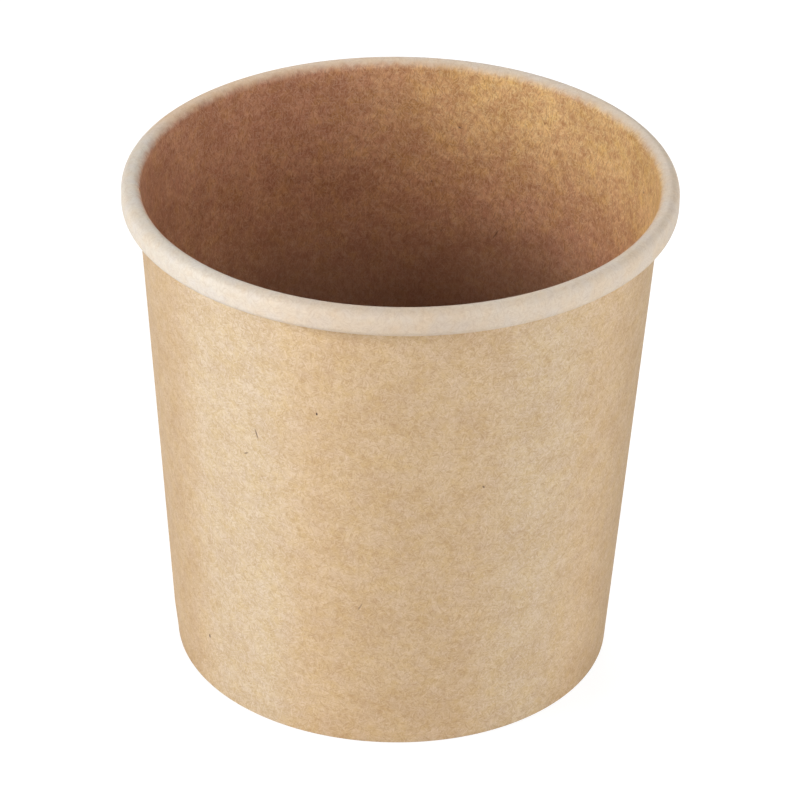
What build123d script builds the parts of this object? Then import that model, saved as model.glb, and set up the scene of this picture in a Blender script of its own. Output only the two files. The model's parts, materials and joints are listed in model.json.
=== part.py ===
from build123d import *
import os
from math import atan2, cos, degrees, pi, radians, sin, tan

# Paper ice cream tub, in millimetres.
# +Z is up, the tub stands on Z = 0 and its axis is the Z axis.
# The side wall is one sheet: folded under at the foot, lapped at the side seam and rolled at the rim.
# The bottom is a second sheet, a shallow upside-down dish whose skirt the foot's fold clamps.

# Overall sizes: the taper is how much narrower the foot is than the rim
height = 85.6
rim_diameter = 90.0
wall_taper = 17.5

# Paper and glue
wall_paper = 0.4
bottom_paper = 0.4
glue_line = 0.05

# Rolled rim: how far it stands out from the wall below it, and its tail's length as a share of the land
roll_overhang = 3.0
roll_height = 4.6
roll_clearance = 0.1
tail_share = 0.55

# Folded foot: the inside radius of its two creases
fold_crease = 0.05

# Bottom disc: its underside's height, its crease, and what is left above the flap and below the skirt
recess_depth = 9.0
disc_crease = 0.4
flap_clearance = 2.0
skirt_clearance = 0.3

# Side seam
seam_turn = 176.0
lap_width = 7.0
lap_ramp = 2.0

# Angles
half_turn = degrees(pi)

# Sizes that follow
rim_radius = rim_diameter / 2
foot_radius = (rim_diameter - wall_taper) / 2
neck_radius = rim_radius - roll_overhang
neck_height = height - roll_height
lean = atan2(neck_radius - foot_radius, neck_height)
outward = Vector(cos(lean), -sin(lean))
upward = Vector(sin(lean), cos(lean))


def wall_radius(level, depth):
    """Radius at a height of the cone that lies a depth inside the wall's outer face."""
    return foot_radius + level * tan(lean) - depth / cos(lean)


def on_wall(level, depth):
    """The same place as a point of the section: radius, then height."""
    return Vector(wall_radius(level, depth), level)


def sheet_of_revolution(centreline, paper):
    """Turns a sheet's centreline, drawn as radius and height, into the closed sheet."""
    section = Plane.XZ * trace(centreline, line_width=paper)
    return revolve(section, axis=Axis.Z)


def folded_foot():
    """Centreline of the flap, the flat fold at the foot and the wall up to the rim roll."""
    middle = wall_paper / 2
    flap_depth = middle + wall_paper + bottom_paper + 2 * glue_line
    return FilletPolyline(
        on_wall(recess_depth - flap_clearance, flap_depth),
        on_wall(middle, flap_depth),
        on_wall(middle, middle),
        crown_centre() - outward * crown_radius(),
        radius=fold_crease + middle,
    )


def roll_room(level, gap):
    """Room across the roll at a level, from the wall's centreline and a gap to the rim's centreline."""
    middle = wall_paper / 2
    across = Vector(rim_radius - middle, level) - on_wall(level, middle)
    return across.dot(outward) - gap


def crown_radius():
    """Centreline radius of the roll's top, tangent to the leaning wall and the upright land."""
    top = height - wall_paper / 2
    return roll_room(top, 0) / (1 + cos(lean) - sin(lean))


def under_radius():
    """Centreline radius of the roll's underside, tangent to the land and to the tail beside the wall."""
    low = neck_height + wall_paper / 2
    return roll_room(low, wall_paper + roll_clearance) / (1 + cos(lean) + sin(lean))


def crown_centre():
    """Centre of the roll's top arc."""
    reach = wall_paper / 2 + crown_radius()
    return Vector(rim_radius - reach, height - reach)


def rolled_rim(start):
    """Centreline of the rim: over the top, down the land, back under and up inside the roll."""
    middle = wall_paper / 2
    lean_turn = degrees(lean)
    crown = JernArc(start, upward, crown_radius(), lean_turn - half_turn)
    land = Line(crown @ 1, Vector(rim_radius - middle, neck_height + middle + under_radius()))
    under = JernArc(land @ 1, land % 1, under_radius(), -half_turn - lean_turn)
    tail = Line(under @ 1, under @ 1 + (under % 1) * tail_share * land.length)
    return crown + land + under + tail


def on_seam(level, depth, along):
    """Point beside the seam, a distance round the neck from the outer layer's cut edge.

    The seam's edges run straight down the cone, so the lap narrows with it towards the foot.
    """
    turn = radians(seam_turn) + along / neck_radius
    radius = wall_radius(level, depth)
    return Vector(radius * cos(turn), radius * sin(turn), level)


def lap_section(level):
    """Level section of the outer layer where it rides on the inner one, and its ramp beside it."""
    buried = wall_paper / 2
    far = lap_width + lap_ramp
    cut_edge = Line(on_seam(level, buried, 0), on_seam(level, -wall_paper, 0))
    face = ThreePointArc(
        cut_edge @ 1,
        on_seam(level, -wall_paper, lap_width / 2),
        on_seam(level, -wall_paper, lap_width),
    )
    ramp = Line(face @ 1, on_seam(level, 0, far))
    step = Line(ramp @ 1, on_seam(level, buried, far))
    back = ThreePointArc(step @ 1, on_seam(level, buried, far / 2), cut_edge @ 0)
    return make_face(cut_edge + face + ramp + step + back)


def groove_section(level):
    """Level section of the gap that the ramp leaves beside the inner layer's cut edge."""
    proud = wall_paper / 2
    inner = wall_paper
    far = lap_width + lap_ramp
    cut_edge = Line(on_seam(level, inner + proud, lap_width), on_seam(level, 0, lap_width))
    ramp = Line(cut_edge @ 1, on_seam(level, inner, far))
    step = Line(ramp @ 1, on_seam(level, inner + proud, far))
    back = Line(step @ 1, cut_edge @ 0)
    return make_face(cut_edge + ramp + step + back)


def side_wall():
    """One sheet from the flap's edge to the tail inside the rim roll, lapped at the side seam."""
    foot = folded_foot()
    sheet = sheet_of_revolution(foot + rolled_rim(foot @ 1), wall_paper)
    fold_top = wall_paper + fold_crease
    roll_middle = height - roll_height / 2
    lap = loft([lap_section(fold_top), lap_section(roll_middle)], ruled=True)
    groove = loft([groove_section(fold_top), groove_section(roll_middle)], ruled=True)
    return sheet + lap - groove


def bottom_disc():
    """The flat disc and its turned-down skirt, which follows the wall's inner face."""
    skirt_depth = wall_paper + glue_line + bottom_paper / 2
    disc_level = recess_depth + bottom_paper / 2
    skirt_level = wall_paper + skirt_clearance
    centreline = FilletPolyline(
        Vector(0, disc_level),
        on_wall(disc_level, skirt_depth),
        on_wall(skirt_level, skirt_depth),
        radius=disc_crease + bottom_paper / 2,
    )
    return sheet_of_revolution(centreline, bottom_paper)


os.makedirs("parts", exist_ok=True)
export_step(side_wall(), "parts/side_wall.step")
export_step(bottom_disc(), "parts/bottom_disc.step")
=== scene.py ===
import json
from math import atan2, cos, pi, radians, sin, tan

import bpy
import numpy as np
from mathutils import Matrix, Vector


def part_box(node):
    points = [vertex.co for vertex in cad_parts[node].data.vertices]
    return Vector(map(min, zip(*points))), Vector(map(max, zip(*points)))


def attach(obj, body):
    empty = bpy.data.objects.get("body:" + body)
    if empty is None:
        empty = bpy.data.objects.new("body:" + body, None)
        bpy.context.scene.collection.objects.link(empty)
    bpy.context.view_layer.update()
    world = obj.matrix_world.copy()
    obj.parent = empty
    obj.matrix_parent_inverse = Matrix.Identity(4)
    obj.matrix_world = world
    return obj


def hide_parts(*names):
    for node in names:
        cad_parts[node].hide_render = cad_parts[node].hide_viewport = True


# Paper ice cream tub: the looks of its two sheets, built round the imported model.
# The shape is worked out in millimetres and the meshes are written in metres.
# +Z is up, the tub's axis is the Z axis, and the camera looks along +Y.

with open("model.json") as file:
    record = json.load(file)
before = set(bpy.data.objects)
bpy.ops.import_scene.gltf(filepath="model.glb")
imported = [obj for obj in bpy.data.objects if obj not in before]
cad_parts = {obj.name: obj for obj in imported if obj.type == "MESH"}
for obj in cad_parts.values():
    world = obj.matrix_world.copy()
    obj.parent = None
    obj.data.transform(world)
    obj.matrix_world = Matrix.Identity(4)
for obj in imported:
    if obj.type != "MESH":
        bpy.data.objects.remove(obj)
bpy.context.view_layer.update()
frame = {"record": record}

mm = 0.001

# Sizes read from the frame
record = frame["record"]
lid_rim = next(mount for mount in record["mounts"] if mount["name"] == "lid_rim")
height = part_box("side_wall")[1].z / mm
rim_radius = lid_rim["dims"]["r_mm"]
disc_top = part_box("bottom_disc")[1].z / mm
skirt_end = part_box("bottom_disc")[0].z / mm

# Side wall's sheet
paper = 0.4
foot_radius = 36.25
roll_overhang = 3.0
roll_height = 4.6
roll_clearance = 0.1
tail_share = 0.55
fold_radius = 0.25
flap_height = 7.0
glue_line = 0.05

# Bottom disc's sheet: its bend, how far its middle dips, and the share of its radius that the dip reaches
disc_bend = 0.6
disc_dish = 0.35
dish_reach = 0.93

# Side seam: the turn of its outer cut edge, its lengths, and how far it is pressed
seam_turn = radians(176.0)
lap_width = 7.0
lap_ramp = 2.0
cut_width = 0.03
seam_press = 0.6
press_length = 1.1
pressed_share = 0.45
roll_fade = 1.6
flap_lap_share = 0.6

# Slack that keeps the sheets inside the CAD box
rim_slack = 0.04

# Handling and forming marks: the oval rim, and the ribs of the folded flap
out_of_round = 0.32
oval_turn = radians(46.6)
oval_power = 1.5
rib_count = 120
rib_depth = 0.1
rib_margin = 0.7

# Waves of the flap's edge: their height, and the count and phase of each
edge_wave = 0.12
edge_waves = ((3, 0.0), (7, 1.0), (16, 2.0))

# Mesh steps
column_count = 600
disc_columns = 288
wall_steps = 16
short_steps = 4
tail_steps = 2
crown_steps = 10
under_steps = 7
fold_steps = 5
sharp_angle = radians(38.0)

# Slack in comparisons: of places in millimetres, and of the parts of a direction
same_place = cut_width / 10
same_way = 1e-6
turned_way = 1e-3

# The disc's section counts as level where its direction's sideways part is more than this
level_way = 0.5

# Camera, fitted to the tub's outline in the photograph
camera_rise = radians(30.44)
camera_roll = radians(1.25)
camera_distance = 0.73889
camera_lens = 200.76
camera_sensor = 36.0
camera_target = Vector((0.000623, 0, 0.04386))


def smooth(value, low, high):
    """Rises from 0 at low to 1 at high, level at both ends."""
    share = np.clip((np.asarray(value, float) - low) / (high - low), 0, 1)
    return share * share * (3 - 2 * share)


# Section of the sheets, as radius and height

neck_radius = rim_radius - roll_overhang
neck_height = height - roll_height
lean = atan2(neck_radius - foot_radius, neck_height)

# Slant distance from the cone's point to the foot
apex = foot_radius / sin(lean)


def on_wall(level, depth):
    """Point at a height that lies a depth inside the wall's outer face."""
    return np.array([foot_radius + level * tan(lean) - depth / cos(lean), level])


def left_of(direction):
    """A direction turned a quarter turn to the left."""
    return np.array([-direction[1], direction[0]])


def rounded_path(corners, radii, run_steps, arc_steps):
    """Points, directions and lengths along straight runs joined by tangent arcs."""
    corners = [np.array(corner, float) for corner in corners]
    points, directions = [], []

    def add(point, direction):
        if not points or np.linalg.norm(point - points[-1]) > same_place:
            points.append(point)
            directions.append(direction)

    def add_run(start, end, steps):
        direction = (end - start) / np.linalg.norm(end - start)
        for share in np.linspace(0, 1, steps + 1):
            add(start + (end - start) * share, direction)

    start = corners[0]
    for index, radius in enumerate(radii):
        corner = corners[index + 1]
        before = corner - corners[index]
        after = corners[index + 2] - corner
        before /= np.linalg.norm(before)
        after /= np.linalg.norm(after)
        turn = atan2(before[0] * after[1] - before[1] * after[0], before @ after)
        reach = radius * tan(abs(turn) / 2)
        arc_start = corner - before * reach
        if np.linalg.norm(arc_start - start) > cut_width:
            add_run(start, arc_start, run_steps[index])
        centre = arc_start + left_of(before) * np.sign(turn) * radius
        for share in np.linspace(0, 1, arc_steps[index] + 1):
            angle = turn * share
            direction = before * cos(angle) + left_of(before) * sin(angle)
            add(centre - left_of(direction) * np.sign(turn) * radius, direction)
        start = corner + after * reach
    add_run(start, corners[-1], run_steps[-1])
    points = np.array(points)
    steps = np.linalg.norm(np.diff(points, axis=0), axis=1)
    return points, np.array(directions), np.concatenate([[0], np.cumsum(steps)])


def roll_room(level, gap, reach):
    """Room across the roll at a level, from the wall's centreline to the land's, less a gap."""
    across = np.array([reach, level]) - on_wall(level, paper / 2)
    return across @ np.array([cos(lean), -sin(lean)]) - gap


def wall_path():
    """Centreline of the side wall's sheet, from the flap's edge to the tail inside the rim roll."""
    middle = paper / 2
    land = rim_radius - rim_slack - middle
    top = height - rim_slack - middle
    low = neck_height + middle
    flap_depth = middle + 2 * paper + 2 * glue_line
    gap = paper + roll_clearance
    crown_radius = roll_room(top, 0, land) / (1 + cos(lean) - sin(lean))
    under_radius = roll_room(low, gap, land) / (1 + cos(lean) + sin(lean))
    tail_length = tail_share * (top - low - crown_radius - under_radius)
    tail_foot = on_wall(low, middle) + np.array([gap / cos(lean), 0])
    upward = np.array([sin(lean), cos(lean)])
    corners = [
        on_wall(flap_height, flap_depth),
        on_wall(middle, flap_depth),
        on_wall(middle, middle),
        on_wall(top, middle),
        (land, top),
        (land, low),
        tail_foot,
        tail_foot + upward * (under_radius + tail_length),
    ]
    radii = [fold_radius, fold_radius, crown_radius, crown_radius, under_radius, under_radius]
    runs = [short_steps, 1, wall_steps, 1, 1, 1, tail_steps]
    arcs = [fold_steps, fold_steps, crown_steps, crown_steps, under_steps, under_steps]
    return rounded_path(corners, radii, runs, arcs)


def disc_path():
    """Centreline of the bottom's sheet, from its middle to the end of its skirt."""
    middle = paper / 2
    skirt_depth = middle + paper + glue_line
    corners = [
        (0, disc_top - middle),
        on_wall(disc_top - middle, skirt_depth),
        on_wall(skirt_end + rim_slack, skirt_depth),
    ]
    return rounded_path(corners, [disc_bend], [crown_steps, short_steps], [fold_steps + 1])


# Side seam

inner_cut = seam_turn + lap_width / neck_radius
ramp_end = inner_cut + lap_ramp / neck_radius
cut_turn = cut_width / neck_radius

# Columns nearer to each other than this are the pairs at the cut edges
narrow_turn = 1.5 * cut_turn


def wall_turns():
    """The wall's columns round the axis, with a pair close together at each layer's cut edge."""
    even = np.arange(column_count) * 2 * pi / column_count
    cuts = np.array([seam_turn, inner_cut])
    far = np.abs(even[:, None] - cuts).min(axis=1) > 2 * cut_turn
    pairs = np.concatenate([cuts - cut_turn / 2, cuts + cut_turn / 2])
    return np.sort(np.concatenate([even[far], pairs]))


def ramp_down(turns):
    """1 before the inner layer's cut edge, falling to 0 at the ramp's end."""
    return np.clip((ramp_end - turns) / (ramp_end - inner_cut), 0, 1)


def lap_height(turns):
    """How far round the seam the outer layer stands off the wall, from 0 to 1."""
    return np.where(turns > seam_turn, ramp_down(turns), 0)


def groove_depth(turns):
    """Depth, from 0 to 1, of the gap that the ramp leaves beside the inner layer's cut edge."""
    return np.where(turns > inner_cut, ramp_down(turns), 0)


# Meshes


def unrolled(turns, along, from_turn):
    """Place on the flat blank, in millimetres: two directions and the distance from the foot's fold."""
    angle = (turns - from_turn - pi) * sin(lean)
    reach = apex + along
    return np.stack([reach * np.sin(angle), reach * np.cos(angle) - apex, along + 0 * angle], -1)


def round_the_axis(section, turns):
    """Places of radii and heights that are turned about the axis, a column for each turn."""
    radii, levels = section[..., 0], section[..., 1]
    return np.stack([radii * np.cos(turns)[:, None], radii * np.sin(turns)[:, None], levels], -1)


def grid_mesh(name, places, closed, poles=()):
    """Mesh of a grid of columns round the axis by rows along the sheet's section.

    A closed section joins its last row to its first. Poles close an open section on the axis.
    """
    columns, rows = places.shape[:2]
    order = np.arange(columns * rows).reshape(columns, rows)
    beside = np.roll(order, -1, axis=0)
    here = order if closed else order[:, :-1]
    after = np.roll(order, -1, axis=1) if closed else order[:, 1:]
    there = beside if closed else beside[:, :-1]
    last = np.roll(beside, -1, axis=1) if closed else beside[:, 1:]
    faces = np.stack([here, there, last, after], -1).reshape(-1, 4).tolist()
    vertices = places.reshape(-1, 3).tolist()
    for pole, row in zip(poles, (0, rows - 1)):
        centre = len(vertices)
        vertices.append(pole)
        for one, other in zip(order[:, row], beside[:, row]):
            faces.append([centre, other, one] if row == 0 else [centre, one, other])
    mesh = bpy.data.meshes.new(name)
    mesh.from_pydata((np.array(vertices) * mm).tolist(), [], faces)
    mesh.update()
    mesh.shade_smooth()
    mesh.set_sharp_from_angle(angle=sharp_angle)
    piece = bpy.data.objects.new(name, mesh)
    bpy.context.scene.collection.objects.link(piece)
    return piece


def set_sheet_places(mesh, corner_places):
    """Stores each face corner's place on the flat blank, which the materials are drawn in."""
    layer = mesh.attributes.new("sheet", "FLOAT_VECTOR", "CORNER")
    layer.data.foreach_set("vector", corner_places.astype(np.float32).ravel())


def set_materials(mesh, materials, slots):
    """Gives a mesh its materials, and each face its slot."""
    for material in materials:
        mesh.materials.append(material)
    mesh.polygons.foreach_set("material_index", slots.astype(np.int32))
    mesh.update()


class WallSheet:
    """The wall's section, its columns and faces, and where its parts end along the sheet.

    Distances along the sheet run from the flap's edge, and row_along's from the foot's fold.
    """

    def __init__(self):
        self.points, self.directions, self.along = wall_path()
        self.turns = wall_turns()
        self.steps = len(self.along)
        self.find_parts()
        self.list_faces()

    def find_parts(self):
        """Distances along the sheet where the flap, the fold, the straight wall and the roll meet."""
        levels = self.points[:, 1]
        sideways, rising = self.directions.T
        self.flap_end = self.along[np.argmax(rising > same_way - cos(lean))]
        self.fold_end = self.along[np.argmax(rising > cos(lean) - same_way)]
        rolling = (sideways > sin(lean) + turned_way) & (levels > neck_height)
        self.crown_start = self.along[np.argmax(rolling)]
        fold_level = levels[np.searchsorted(self.along, self.fold_end)]
        self.neck = self.fold_end + (neck_height - fold_level) / cos(lean)

    def list_faces(self):
        """Each face's row and turn. Rows run along the sheet's outer side, then back along its inner one."""
        self.rows = 2 * self.steps
        self.next_turns = np.append(self.turns[1:], self.turns[0] + 2 * pi)
        self.face_row = np.tile(np.arange(self.rows), len(self.turns))
        self.face_turn = np.repeat((self.turns + self.next_turns) / 2, self.rows)
        self.on_outer = self.face_row < self.steps
        from_fold = self.along - self.fold_end
        self.row_along = np.concatenate([from_fold, from_fold[::-1]])


def lap_and_groove(sheet):
    """How far the outer layer stands off over the lap, and the depth of the gap beside the lap."""
    along = sheet.along
    on_flap = 1 - smooth(along, sheet.flap_end - press_length, sheet.flap_end)
    lapped = smooth(along, sheet.fold_end, sheet.fold_end + press_length)
    lapped = lapped * (1 - smooth(along, sheet.neck - press_length, sheet.neck))
    grooved = np.where(along > sheet.fold_end, pressed_share + (1 - pressed_share) * lapped, 0)
    grooved = grooved * (1 - smooth(along, sheet.crown_start, sheet.crown_start + roll_fade))
    lap_rows = lapped + flap_lap_share * on_flap
    lap = seam_press * paper * lap_height(sheet.turns)[:, None] * lap_rows
    groove = paper * groove_depth(sheet.turns)[:, None] * grooved
    return lap, groove


def pulled_in(sheet):
    """How far each place is pulled towards the axis, by the flap's ribs and by the oval rim."""
    turns, along = sheet.turns, sheet.along
    radii, levels = sheet.points.T
    rib_rows = smooth(along, rib_margin, 2 * rib_margin)
    rib_rows = rib_rows * (1 - smooth(along, sheet.flap_end - 2 * rib_margin, sheet.flap_end - rib_margin))
    ribs = rib_depth * (0.5 - 0.5 * np.cos(rib_count * turns))[:, None] * rib_rows
    on_flap = np.arange(sheet.steps) < np.argmax(radii > foot_radius - paper)
    squeeze = (levels / height) ** oval_power
    oval = out_of_round * np.cos(2 * (turns - oval_turn))[:, None] * squeeze
    return np.where(on_flap, ribs, 0) - oval


def edge_drop(sheet):
    """How far the flap's wavy edge lies below its full height."""
    waves = sum(np.sin(count * sheet.turns + phase) for count, phase in edge_waves)
    near_edge = 1 - smooth(sheet.along, 0, 2 * rib_margin)
    return edge_wave * (1 - waves / len(edge_waves))[:, None] * near_edge


def wall_places(sheet):
    """Places of the wall's mesh: its outer side from flap to tail, then its inner side back."""
    normals = np.stack([sheet.directions[:, 1], -sheet.directions[:, 0]], -1)
    lap, groove = lap_and_groove(sheet)
    outer = sheet.points + normals * (paper / 2) + normals * lap[..., None]
    inner = sheet.points - normals * (paper / 2) + normals * groove[..., None]
    pull, drop = pulled_in(sheet), edge_drop(sheet)
    for side in (outer, inner):
        side[..., 0] -= pull
        side[..., 1] -= drop
    return round_the_axis(np.concatenate([outer, inner[:, ::-1]], axis=1), sheet.turns)


def wall_blank_places(sheet):
    """Each face corner's place on the flat blank, which starts at its layer's cut edge."""
    next_along = np.roll(sheet.row_along, -1)
    cut = np.where(sheet.on_outer, seam_turn, inner_cut)
    wrap = np.where(sheet.face_turn % (2 * pi) < cut, 2 * pi, 0)
    left = np.repeat(sheet.turns, sheet.rows) + wrap
    right = np.repeat(sheet.next_turns, sheet.rows) + wrap
    corner_turns = np.stack([left, right, right, left], -1)
    corner_along = np.stack([sheet.row_along, sheet.row_along, next_along, next_along], -1)
    corner_along = np.tile(corner_along, (len(sheet.turns), 1))
    return unrolled(corner_turns, corner_along, cut[:, None])


def wall_slots(sheet):
    """Each face's material: 0 outside, 1 inside and over the rim, 2 on the sheet's cut edges."""
    end_cap = (sheet.face_row == sheet.steps - 1) | (sheet.face_row == sheet.rows - 1)
    narrow = np.repeat(sheet.next_turns - sheet.turns < narrow_turn, sheet.rows)
    at_outer_cut = narrow & (np.abs(sheet.face_turn - seam_turn) < cut_turn) & sheet.on_outer
    at_inner_cut = narrow & (np.abs(sheet.face_turn - inner_cut) < cut_turn) & ~sheet.on_outer
    at_inner_cut &= np.tile(sheet.row_along < sheet.crown_start - sheet.fold_end, len(sheet.turns))
    slots = np.where(sheet.on_outer, 0, 1)
    slots[end_cap | at_outer_cut | at_inner_cut] = 2
    return slots


def side_wall():
    """The side wall's sheet: flap, folded foot, lapped wall and rolled rim."""
    sheet = WallSheet()
    piece = grid_mesh("tub_side_wall", wall_places(sheet), closed=True)
    set_sheet_places(piece.data, wall_blank_places(sheet))
    coated = coated_paper("coated_wall_paper", sheet.crown_start - sheet.fold_end)
    set_materials(piece.data, [outer_paper(), coated, cut_paper()], wall_slots(sheet))
    return piece


def corner_places(mesh):
    """Each face corner's own place in millimetres."""
    corners = np.zeros(len(mesh.loops), np.int32)
    mesh.loops.foreach_get("vertex_index", corners)
    places = np.zeros(len(mesh.vertices) * 3)
    mesh.vertices.foreach_get("co", places)
    return places.reshape(-1, 3)[corners] / mm


def disc_slots(steps):
    """Each face's material: 0 on top, 1 underneath, 2 on the skirt's cut edge.

    Rows run out along the top, over the cut edge and back underneath. The fans at the two poles come last.
    """
    edge_row = steps - 2
    row = np.tile(np.arange(2 * edge_row + 1), disc_columns)
    slots = np.where(row < edge_row, 0, 1)
    slots[row == edge_row] = 2
    return np.concatenate([slots, np.repeat([0, 1], disc_columns)])


def bottom_disc():
    """The bottom's sheet: a disc that dips a little at its middle, with a turned-down skirt."""
    points, directions, along = disc_path()
    normals = np.stack([-directions[:, 1], directions[:, 0]], -1)
    from_axis = points[:, 0] / points[:, 0].max()
    level = directions[:, 0] > level_way
    points[:, 1] -= disc_dish * (1 - smooth(from_axis, 0, dish_reach)) * level
    top = points + normals * (paper / 2)
    under = points - normals * (paper / 2)
    loop = np.concatenate([top[1:], under[:0:-1]])
    turns = np.arange(disc_columns) * 2 * pi / disc_columns
    places = round_the_axis(np.repeat(loop[None], disc_columns, axis=0), turns)
    poles = [(0, 0, top[0, 1]), (0, 0, under[0, 1])]
    piece = grid_mesh("tub_bottom", places, closed=False, poles=poles)
    # The section runs outward from the axis, which leaves the grid's faces inside out
    piece.data.flip_normals()
    set_sheet_places(piece.data, corner_places(piece.data))
    # Nothing on the disc is as high as the tub, so the rim's coat never starts on it
    coated = coated_paper("coated_bottom_paper", height)
    set_materials(piece.data, [coated, under_paper(), cut_paper()], disc_slots(len(along)))
    return piece


# Colours


def srgb(red, green, blue):
    """A colour written as 0 to 255 on a screen, as the linear colour that shaders take."""
    shares = [value / 255 for value in (red, green, blue)]
    linear = [s / 12.92 if s <= 0.04045 else ((s + 0.055) / 1.055) ** 2.4 for s in shares]
    return (*linear, 1)


# Each paper has a middle tone, a dark and a light one for its fibres, and two that its patches lean to
outer_tones = {
    "middle": srgb(208, 180, 141),
    "dark": srgb(166, 124, 78),
    "light": srgb(238, 220, 196),
    "warm": srgb(206, 176, 131),
    "cool": srgb(209, 182, 148),
}
coated_tones = {
    "middle": srgb(213, 161, 116),
    "dark": srgb(142, 82, 42),
    "light": srgb(238, 206, 168),
    "warm": srgb(214, 162, 107),
    "cool": srgb(205, 150, 110),
}
rim_tones = {
    "middle": srgb(216, 200, 180),
    "dark": srgb(176, 146, 120),
    "light": srgb(242, 232, 218),
    "warm": srgb(217, 198, 174),
    "cool": srgb(214, 200, 184),
}
core_brown = srgb(206, 178, 144)
speck_brown = srgb(74, 40, 20)

# Painted sheen and painted shade in slow bands down the outside: pale bands are painted sheen where the side
# lamps' highlights fall, deep bands painted shade beside them. Each band has its middle and reach in degrees
# of turn, and strength.
# The band edge is the share of its reach over which a band is at its full strength.
painted_sheen_bands = ((230.0, 24.0, 1.2), (306.0, 20.0, 0.7))
painted_shade_bands = ((194.0, 28.0, 1.5), (265.0, 22.0, 0.5), (345.0, 22.0, 1.0))
painted_sheen_tint = (1.01, 1.09, 1.21, 1)
painted_shade_tint = (0.9, 0.88, 0.84, 1)
band_edge = 0.1

# Slow painted light and shade of the inside: near the mouth the lit side is painted golden and the shaded
# side red, and both fade downward; far down a painted shade darkens it.
# The golden side is measured sideways from the blank's middle, and the others upward from the foot's fold.
golden_middle = 18.0
golden_reach = 20.0
golden_fade = 44.0
mouth_top = 82.0
mouth_low = 56.0
deep_top = 66.0
deep_low = 32.0
golden_painted_light_tint = (1.05, 1.28, 1.14, 1)
red_painted_shade_tint = (0.88, 0.82, 0.92, 1)
plain_tint = (0.94, 0.92, 1.03, 1)
deep_painted_shade_tint = (0.58, 0.68, 0.93, 1)

# The texture fades by this share where the inside is deep
deep_calm = 0.45

# The inside's painted light side and painted shade side, from one sideways distance on the blank to another
dark_start = 45.0
dark_end = 125.0
painted_light_side_tint = (1.06, 1.03, 0.99, 1)
painted_shade_side_tint = (0.86, 0.83, 0.8, 1)

# The rim's coat, by sideways distance on the blank: it is thinner and browner at the back left and
# a little deeper at the front. At both ends of the blank, beside the seam on the tub's left, a painted sheen
# makes it palest where the left lamps light the rim.
thin_start = 35.0
thin_end = 92.0
thin_tint = (1.04, 0.91, 0.79, 1)
front_middle = -72.0
front_reach = 6.0
front_fade = 14.0
front_tint = (0.93, 0.9, 0.87, 1)
left_end_start = 107.0
left_end_full = 121.0
right_end_start = -84.0
right_end_full = -104.0
painted_sheen_end_tint = (0.99, 1.05, 1.12, 1)

# The coat starts and is full this far past the rim's crown, less an unevenness of a size and a reach
coat_start = 0.4
coat_full = 2.0
coat_edge_size = 1.2
coat_edge_reach = 1.2


# Texture of the papers, with lengths in millimetres

# Strength of each paper's fibres and grain, and of its clumps and patches
outer_texture = (1.0, 1.0)
coated_texture = (1.25, 1.55)
rim_texture = (0.5, 0.3)
under_texture = (1.1, 1.0)

# Roughness, height of the relief and specular level of each paper's surface
outer_surface = (0.6, 0.016, 0.7)
coated_surface = (0.6, 0.02, 0.6)
under_surface = (0.55, 0.03, 0.5)
cut_surface = (0.8, 0.03, 0.3)

# Ways that fibres lie on the blank
every_way = tuple(radians(turn) for turn in (6.0, 51.0, 97.0, 142.0))
upright_ways = tuple(radians(turn) for turn in (70.0, 84.0, 96.0, 130.0))
relief_ways = tuple(radians(turn) for turn in (20.0, 80.0, 140.0))

# Fibres: size and reach of their curl, their length and width, and how strongly they show
curl_size = 2.2
curl_reach = 0.8
light_length = 1.2
dark_length = 1.4
fibre_width = 0.25
light_share = 0.24
dark_share = 0.42

# Raised fibres of the relief, and the size of its fine unevenness
relief_curl_size = 1.6
relief_curl_reach = 0.9
relief_length = 1.2
relief_width = 0.2
relief_grain_size = 0.5

# Sizes of the other patterns, and how strongly they darken the paper
grain_size = 0.3
grain_share = 0.16
clump_size = 1.6
clump_share = 0.24
patch_size = 8.0
patch_share = 0.2
mottle_size = 3.0
core_grain_size = 0.25

# Noise values between which each pattern grows to its full strength
fibre_range = (0.58, 0.8)
grain_range = (0.4, 0.75)
shade_range = (0.38, 0.68)
warm_range = (0.5, 0.66)
cool_range = (0.5, 0.34)

# Offsets that keep the patterns from matching each other
light_offset = 7.0
dark_offset = 61.0
relief_offset = 33.0
way_offset = (17.0, 5.0)
clump_offset = (20.0, 70.0, 0.0)
patch_offset = (90.0, 40.0, 0.0)
coated_offset = (200.0, 90.0, 40.0)
under_offset = (400.0, 10.0, 80.0)

# Flecks of bark, small and large: spacing, radius, share of places that have one, offset and darkness.
# The fleck core is the share of its radius at full darkness.
flecks = (
    (3.2, 0.13, 0.06, (3.0, 9.0, 0.0), 0.4),
    (14.0, 0.24, 0.1, (13.0, 5.0, 0.0), 0.8),
)
fleck_core = 0.4

# Marks seen in the photograph: turn in degrees, height, length, width, lean in degrees and darkness.
# A mark fades between these shares of its own half length and half width.
outer_marks = (
    (252.5, 63.9, 0.6, 0.35, -10.0, 1.0),
    (290.8, 50.1, 0.65, 0.35, -40.0, 0.7),
    (216.1, 10.7, 0.8, 0.4, -10.0, 1.0),
    (237.3, 57.1, 2.0, 0.28, -25.0, 0.75),
    (234.1, 52.6, 1.1, 0.3, 50.0, 0.6),
    (262.4, 27.5, 1.7, 0.25, 20.0, 0.5),
)
inner_marks = (
    (16.1, 77.5, 0.5, 0.35, 60.0, 1.0),
    (76.3, 74.2, 0.6, 0.3, 70.0, 0.8),
    (82.6, 63.8, 0.5, 0.3, 0.0, 0.7),
    (65.8, 55.7, 2.2, 0.25, -25.0, 0.7),
    (79.8, 54.8, 0.5, 0.3, 0.0, 0.6),
    (54.9, 78.4, 0.5, 0.3, 0.0, 0.5),
)
mark_fade = (1.2, 0.5)


# Shader helpers


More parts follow.
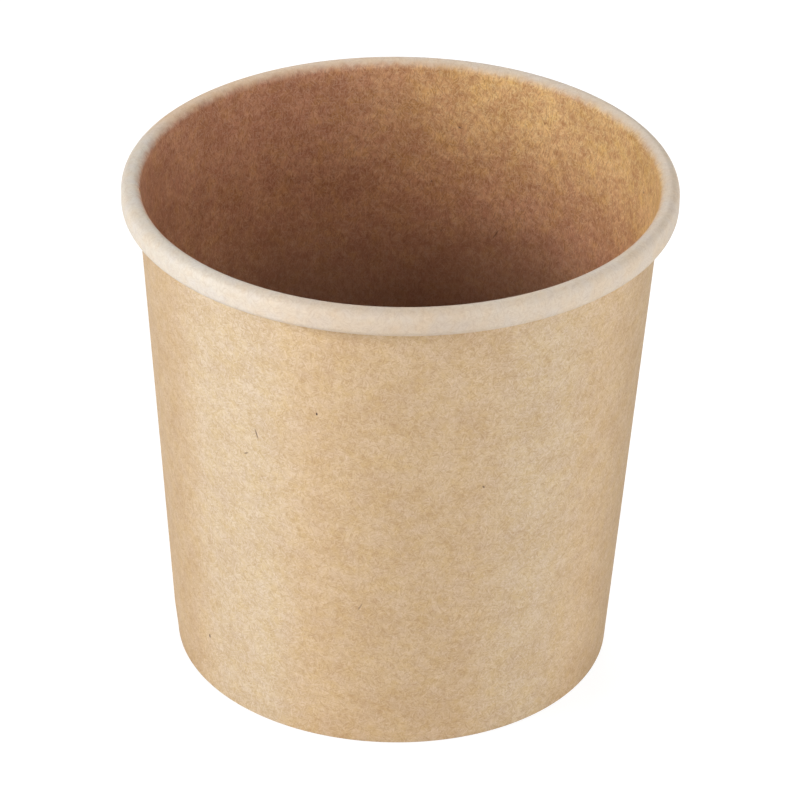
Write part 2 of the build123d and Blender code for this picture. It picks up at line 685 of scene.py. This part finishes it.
class Shader:
    """A material's node tree, with short calls for the nodes that these papers use."""

    def __init__(self, name):
        self.material = bpy.data.materials.new(name)
        self.material.use_nodes = True
        self.tree = self.material.node_tree
        self.tree.nodes.clear()

    def node(self, kind, inputs=(), **settings):
        """Adds a node with its settings and its inputs."""
        made = self.tree.nodes.new(kind)
        for name, value in settings.items():
            setattr(made, name, value)
        for name, value in dict(inputs).items():
            self.put(made.inputs[name], value)
        return made

    def put(self, socket, value):
        """Links a node's output to a socket, or sets the socket's own value."""
        if isinstance(value, bpy.types.NodeSocket):
            self.tree.links.new(value, socket)
        else:
            socket.default_value = value

    def math(self, operation, *values):
        """A calculation with one, two or three values."""
        inputs = dict(enumerate(values))
        return self.node("ShaderNodeMath", inputs, operation=operation).outputs[0]

    def times(self, value, share):
        """A value times a share."""
        return self.math("MULTIPLY", value, share)

    def distance(self, value, middle):
        """How far a value is from a middle, either way."""
        return self.math("ABSOLUTE", self.math("SUBTRACT", value, middle))

    def shift(self, place, offset):
        """The place moved by an offset."""
        node = self.node("ShaderNodeVectorMath", {0: place, 1: offset}, operation="ADD")
        return node.outputs[0]

    def stretch(self, place, shares):
        """The place multiplied in each direction by its share."""
        node = self.node("ShaderNodeVectorMath", {0: place, 1: shares}, operation="MULTIPLY")
        return node.outputs[0]

    def turned(self, place, turn):
        """The place turned in the plane of the blank."""
        inputs = {"Vector": place, "Angle": turn}
        return self.node("ShaderNodeVectorRotate", inputs, rotation_type="Z_AXIS").outputs[0]

    def parts(self, place):
        """The place's three parts."""
        return self.node("ShaderNodeSeparateXYZ", {0: place}).outputs

    def noise(self, place, size, detail=2.0, rough=0.5):
        """Noise of a feature size in millimetres."""
        inputs = {"Vector": place, "Scale": 1 / size, "Detail": detail, "Roughness": rough}
        return self.node("ShaderNodeTexNoise", inputs).outputs

    def rise(self, value, low, high):
        """Rises smoothly from 0 at low to 1 at high, or falls where low is the higher."""
        ends = {"Value": value, "From Min": low, "From Max": high}
        if low > high:
            ends.update({"From Min": high, "From Max": low, "To Min": 1.0, "To Max": 0.0})
        node = self.node("ShaderNodeMapRange", ends, interpolation_type="SMOOTHSTEP")
        return node.outputs[0]

    def mix(self, share, below, above, blend_type="MIX"):
        """Mixes two colours, which are the node's sockets 6 and 7."""
        node = self.node("ShaderNodeMix", data_type="RGBA", blend_type=blend_type)
        for socket, value in zip((0, 6, 7), (share, below, above)):
            self.put(node.inputs[socket], value)
        return node.outputs[2]

    def tinted(self, colour, tint):
        """A colour times a tint."""
        return self.mix(1.0, colour, tint, "MULTIPLY")

    def bent(self, place, size, reach):
        """The place pushed either way by a slow noise, which makes straight streaks curl."""
        push = self.shift(self.noise(place, size, detail=1.0)["Color"], (-0.5, -0.5, -0.5))
        return self.shift(place, self.stretch(push, (reach, reach, 0.0)))

    def fibres(self, place, turns, length, width, offset):
        """Fine fibres, each set lying about one way: a noise drawn out along that way."""
        found = None
        for index, turn in enumerate(turns):
            apart = (offset + way_offset[0] * index, offset + way_offset[1] * index, 0.0)
            along_way = self.turned(self.shift(place, apart), turn)
            drawn = self.stretch(along_way, (width / length, 1.0, 1.0))
            lines = self.rise(self.noise(drawn, width, detail=0.0)[0], *fibre_range)
            found = self.math("MAXIMUM", found, lines) if found else lines
        return found

    def specks(self, place, spacing, radius, share, offset):
        """Small dark flecks, in a share of cells of the given spacing."""
        inputs = {"Vector": self.shift(place, offset), "Scale": 1 / spacing, "Randomness": 1.0}
        node = self.node("ShaderNodeTexVoronoi", inputs)
        near = self.rise(node.outputs["Distance"], radius / spacing, radius / spacing * fleck_core)
        drawn = self.node("ShaderNodeSeparateColor", {0: node.outputs["Color"]}).outputs[0]
        return self.times(near, self.math("LESS_THAN", drawn, share))

    def finish(self, colour, relief, surface):
        """Adds the surface shader. The surface's relief height is in millimetres."""
        roughness, relief_height, specular = surface
        raised = {"Height": relief, "Distance": relief_height * mm, "Strength": 1.0}
        bump = self.node("ShaderNodeBump", raised)
        inputs = {
            "Base Color": colour,
            "Roughness": roughness,
            "Normal": bump.outputs[0],
            "Specular IOR Level": specular,
        }
        principled = self.node("ShaderNodeBsdfPrincipled", inputs)
        self.node("ShaderNodeOutputMaterial", {"Surface": principled.outputs[0]})
        return self.material


# Papers


def sheet_place(shader):
    """The place on the flat blank, and the distance along the sheet from the foot's fold."""
    place = shader.node("ShaderNodeAttribute", attribute_name="sheet").outputs["Vector"]
    u, v, along = shader.parts(place)
    flat = shader.node("ShaderNodeCombineXYZ", {0: u, 1: v, 2: 0.0})
    return flat.outputs[0], along


def mottled(shader, place, tones, mottling):
    """The paper's middle tone with warm and cool mottle, dark patches and dark clumps."""
    mottle = shader.noise(place, mottle_size, rough=0.6)[0]
    patch = shader.noise(shader.shift(place, patch_offset), patch_size, rough=0.6)[0]
    clump = shader.noise(shader.shift(place, clump_offset), clump_size, detail=3.0, rough=0.65)[0]
    tone = shader.mix(shader.rise(mottle, *warm_range), tones["middle"], tones["warm"])
    tone = shader.mix(shader.rise(mottle, *cool_range), tone, tones["cool"])
    for noise, share in ((patch, patch_share), (clump, clump_share)):
        shade = shader.times(shader.rise(noise, *shade_range), share * mottling)
        tone = shader.mix(shade, tone, tones["dark"])
    return tone


def paper_tone(shader, place, tones, texture, dark_ways):
    """Colour of the paper: mottle, patches and clumps under dark and light fibres and grain."""
    strength, mottling = texture
    curled = shader.bent(place, curl_size, curl_reach)
    light = shader.fibres(curled, every_way, light_length, fibre_width, light_offset)
    dark = shader.fibres(curled, dark_ways, dark_length, fibre_width, dark_offset)
    grain = shader.rise(shader.noise(place, grain_size, detail=1.0, rough=0.7)[0], *grain_range)
    tone = mottled(shader, place, tones, mottling)
    tone = shader.mix(shader.times(dark, dark_share * strength), tone, tones["dark"])
    tone = shader.mix(shader.times(light, light_share * strength), tone, tones["light"])
    return shader.mix(shader.times(grain, grain_share * strength), tone, tones["dark"])


def with_specks(shader, place, tone):
    """The paper's colour with a few dark flecks of bark."""
    for spacing, radius, share, offset, darkness in flecks:
        found = shader.specks(place, spacing, radius, share, offset)
        tone = shader.mix(shader.times(found, darkness), tone, speck_brown)
    return tone


def blank_place(turn, level, cut):
    """Middle of a mark on the flat blank, from its turn and height on the wall."""
    from_cut = turn if turn > cut else turn + 2 * pi
    u, v, _ = unrolled(np.array(from_cut), (level - paper) / cos(lean), cut)
    return float(u), float(v)


def with_marks(shader, blank, tone, marks, cut):
    """The paper's colour with single flecks and hairs where the photograph shows them."""
    for turn, level, length, width, lean_over, darkness in marks:
        u, v = blank_place(radians(turn), level, cut)
        along_mark = shader.turned(shader.shift(blank, (-u, -v, 0.0)), radians(lean_over))
        shares = shader.stretch(along_mark, (2 / width, 2 / length, 0.0))
        reach = shader.node("ShaderNodeVectorMath", {0: shares}, operation="LENGTH").outputs["Value"]
        tone = shader.mix(shader.times(shader.rise(reach, *mark_fade), darkness), tone, speck_brown)
    return tone


def with_painted_bands(shader, blank, tone, bands, tint, cut):
    """The paper's colour with slow bands that run down the wall: painted sheen with a pale tint, painted
    shade with a deep one.
    """
    u, v, _ = shader.parts(blank)
    angle = shader.math("ARCTAN2", u, shader.math("ADD", v, apex))
    turn = shader.math("MULTIPLY_ADD", angle, 1 / sin(lean), cut + pi)
    for middle, reach, strength in bands:
        past = shader.math("WRAP", shader.math("SUBTRACT", turn, radians(middle)), pi, -pi)
        share = shader.rise(shader.math("ABSOLUTE", past), radians(reach), radians(reach) * band_edge)
        tone = shader.mix(shader.times(share, strength), tone, shader.tinted(tone, tint))
    return tone


def fibre_relief(shader, place):
    """Height of the sheet's surface: raised fibres over a fine unevenness."""
    curled = shader.bent(place, relief_curl_size, relief_curl_reach)
    raised = shader.fibres(curled, relief_ways, relief_length, relief_width, relief_offset)
    return shader.math("ADD", raised, shader.noise(place, relief_grain_size, detail=1.0)[0])


def outer_paper():
    """Uncoated brown paper of the wall's outside, with bands of painted sheen and painted shade."""
    shader = Shader("outer_wall_paper")
    blank, _ = sheet_place(shader)
    tone = paper_tone(shader, blank, outer_tones, outer_texture, every_way)
    # Painted sheen where the side lamps' highlights fall, then painted shade at the far left, front and far
    # right
    tone = with_painted_bands(shader, blank, tone, painted_sheen_bands, painted_sheen_tint, seam_turn)
    tone = with_painted_bands(shader, blank, tone, painted_shade_bands, painted_shade_tint, seam_turn)
    tone = with_specks(shader, blank, tone)
    tone = with_marks(shader, blank, tone, outer_marks, seam_turn)
    return shader.finish(tone, fibre_relief(shader, blank), outer_surface)


def inner_painted_light_and_shade(shader, sideways, along, painted_depth_shade):
    """Painted light and shade of the inside: golden painted light on one side near the mouth and red painted
    shade on the other, painted shade far down and at one side.
    """
    off = shader.distance(sideways, golden_middle)
    golden_painted_light = shader.rise(off, golden_reach + golden_fade, golden_reach)
    side = shader.mix(golden_painted_light, red_painted_shade_tint, golden_painted_light_tint)
    tint = shader.mix(shader.rise(along, mouth_low, mouth_top), plain_tint, side)
    tint = shader.mix(painted_depth_shade, tint, deep_painted_shade_tint)
    painted_shade_side = shader.rise(sideways, dark_start, dark_end)
    return shader.tinted(tint, shader.mix(painted_shade_side, painted_light_side_tint, painted_shade_side_tint))


def rim_paper(shader, sideways, place):
    """The rim's pale coat, with its slow changes from one end of the blank to the other, and painted sheen
    at both ends.
    """
    pale = paper_tone(shader, place, rim_tones, rim_texture, every_way)
    thin = shader.rise(sideways, thin_start, thin_end)
    off = shader.distance(sideways, front_middle)
    front = shader.rise(off, front_reach + front_fade, front_reach)
    left_end = shader.rise(sideways, left_end_start, left_end_full)
    right_end = shader.rise(sideways, right_end_start, right_end_full)
    tone = shader.mix(thin, pale, shader.tinted(pale, thin_tint))
    tone = shader.mix(front, tone, shader.tinted(pale, front_tint))
    # Painted sheen at both ends of the blank, on the rim's left where the left lamps light it
    painted_sheen_ends = shader.math("MAXIMUM", left_end, right_end)
    return shader.mix(painted_sheen_ends, tone, shader.tinted(pale, painted_sheen_end_tint))


def coated_paper(name, crown):
    """Coated brown paper of the inside, with painted light and shade, which turns pale where it is rolled
    over the rim's crown.
    """
    shader = Shader(name)
    blank, along = sheet_place(shader)
    sideways = shader.parts(blank)[0]
    place = shader.shift(blank, coated_offset)
    tone = paper_tone(shader, place, coated_tones, coated_texture, upright_ways)
    tone = with_specks(shader, place, tone)
    tone = with_marks(shader, blank, tone, inner_marks, inner_cut)
    # Painted shade far down, and painted light and shade on the inside's lit and shaded sides
    painted_depth_shade = shader.rise(along, deep_top, deep_low)
    tone = shader.mix(shader.times(painted_depth_shade, deep_calm), tone, coated_tones["middle"])
    tone = shader.tinted(tone, inner_painted_light_and_shade(shader, sideways, along, painted_depth_shade))
    uneven = shader.times(shader.noise(place, coat_edge_size)[0], coat_edge_reach)
    reached = shader.rise(shader.math("ADD", along, uneven), crown + coat_start, crown + coat_full)
    tone = shader.mix(reached, tone, rim_paper(shader, sideways, place))
    return shader.finish(tone, fibre_relief(shader, place), coated_surface)


def under_paper():
    """Uncoated brown paper of the bottom's underside."""
    shader = Shader("under_bottom_paper")
    place = shader.shift(sheet_place(shader)[0], under_offset)
    tone = paper_tone(shader, place, outer_tones, under_texture, every_way)
    tone = with_specks(shader, place, tone)
    return shader.finish(tone, fibre_relief(shader, place), under_surface)


def cut_paper():
    """The paper's raw core, where a cut edge shows it."""
    shader = Shader("cut_paper_edge")
    place = shader.node("ShaderNodeTexCoord").outputs["Object"]
    place = shader.stretch(place, (1 / mm, 1 / mm, 1 / mm))
    grain = shader.noise(place, core_grain_size)[0]
    tone = shader.mix(grain, core_brown, outer_tones["dark"])
    return shader.finish(tone, grain, cut_surface)


# Stage: the floor's half width in metres, and how much of the camera's view of it takes the tub's shadow.
# The lift is extra white for the camera, so that the floor is plain white beside the shadow.
floor_half = 3.0
floor_white = 0.8
floor_lift = 0.17
shadow_share = 0.3
sky_strength = 0.12
plain_white = (1, 1, 1, 1)

# Soft lamps: turn about the tub from the camera's side and rise, in degrees, and power
lamp_distance = 1.2
lamp_size = 0.4
lamps = {
    "left_lamp": (-75.0, 18.0, 7.8),
    "upper_left_lamp": (-60.0, 30.0, 4.7),
    "front_lamp": (0.0, 8.0, 1.2),
    "low_right_lamp": (30.0, 8.0, 3.3),
    "upper_right_lamp": (30.0, 30.0, 2.5),
    "right_lamp": (95.0, 8.0, 2.7),
    "high_side_lamp": (95.0, 30.0, 2.3),
    "back_lamp": (180.0, 30.0, 3.2),
    "high_back_lamp": (180.0, 60.0, 2.1),
}
tub_centre = Vector((0, 0, height * mm / 2))


def floor_material():
    """Matte white for the light, and for the camera a white that keeps a share of the tub's shadow."""
    shader = Shader("floor")
    white = (floor_white, floor_white, floor_white, 1)
    matte = shader.node("ShaderNodeBsdfDiffuse", {"Color": white}).outputs[0]
    glow = shader.node("ShaderNodeEmission", {"Color": plain_white, "Strength": 1.0}).outputs[0]
    lift = shader.node("ShaderNodeEmission", {"Color": plain_white, "Strength": floor_lift}).outputs[0]
    seen = shader.node("ShaderNodeMixShader", {0: shadow_share, 1: glow, 2: matte}).outputs[0]
    bright = shader.node("ShaderNodeAddShader", {0: seen, 1: lift}).outputs[0]
    ray = shader.node("ShaderNodeLightPath").outputs["Is Camera Ray"]
    mixed = shader.node("ShaderNodeMixShader", {0: ray, 1: matte, 2: bright}).outputs[0]
    shader.node("ShaderNodeOutputMaterial", {"Surface": mixed})
    return shader.material


def add_floor():
    """A square white floor under the tub."""
    mesh = bpy.data.meshes.new("floor")
    corners = [(x * floor_half, y * floor_half, 0) for x, y in ((-1, -1), (1, -1), (1, 1), (-1, 1))]
    mesh.from_pydata(corners, [], [(0, 1, 2, 3)])
    mesh.materials.append(floor_material())
    floor = bpy.data.objects.new("floor", mesh)
    bpy.context.scene.collection.objects.link(floor)


def add_lamp(name, turn, rise, power):
    """A soft square lamp that faces the tub, turned about it from the camera's side."""
    lamp = bpy.data.lights.new(name, "AREA")
    lamp.shape = "SQUARE"
    lamp.size = lamp_size
    lamp.energy = power
    turn, rise = radians(turn), radians(rise)
    toward = Vector((sin(turn) * cos(rise), -cos(turn) * cos(rise), sin(rise)))
    piece = bpy.data.objects.new(name, lamp)
    piece.location = tub_centre + toward * lamp_distance
    piece.rotation_euler = toward.to_track_quat("Z", "Y").to_euler()
    bpy.context.scene.collection.objects.link(piece)


def add_sky():
    """Even light from all round, and a white background for the camera."""
    world = bpy.data.worlds.new("sky")
    world.use_nodes = True
    tree = world.node_tree
    tree.nodes.clear()
    mix = tree.nodes.new("ShaderNodeMixShader")
    for socket, strength in ((1, sky_strength), (2, 1.0)):
        background = tree.nodes.new("ShaderNodeBackground")
        background.inputs["Color"].default_value = plain_white
        background.inputs["Strength"].default_value = strength
        tree.links.new(background.outputs[0], mix.inputs[socket])
    ray = tree.nodes.new("ShaderNodeLightPath")
    output = tree.nodes.new("ShaderNodeOutputWorld")
    tree.links.new(ray.outputs["Is Camera Ray"], mix.inputs[0])
    tree.links.new(mix.outputs[0], output.inputs["Surface"])
    bpy.context.scene.world = world


def add_camera():
    """The camera at the photograph's angle, distance and roll."""
    data = bpy.data.cameras.new("camera")
    data.lens = camera_lens
    data.sensor_width = camera_sensor
    camera = bpy.data.objects.new("camera", data)
    forward = Vector((0, cos(camera_rise), -sin(camera_rise)))
    level = Vector((1, 0, 0))
    up = level.cross(forward)
    right = level * cos(camera_roll) + up * sin(camera_roll)
    above = up * cos(camera_roll) - level * sin(camera_roll)
    turned = Matrix((right, above, -forward)).transposed().to_4x4()
    camera.matrix_world = Matrix.Translation(camera_target - forward * camera_distance) @ turned
    bpy.context.scene.collection.objects.link(camera)
    bpy.context.scene.camera = camera


wall = side_wall()
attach(wall, "root")
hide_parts("side_wall")

bottom = bottom_disc()
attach(bottom, "root")
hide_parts("bottom_disc")

add_floor()
for name, (turn, rise, power) in lamps.items():
    add_lamp(name, turn, rise, power)
add_sky()
add_camera()
bpy.context.scene.view_settings.view_transform = "Standard"
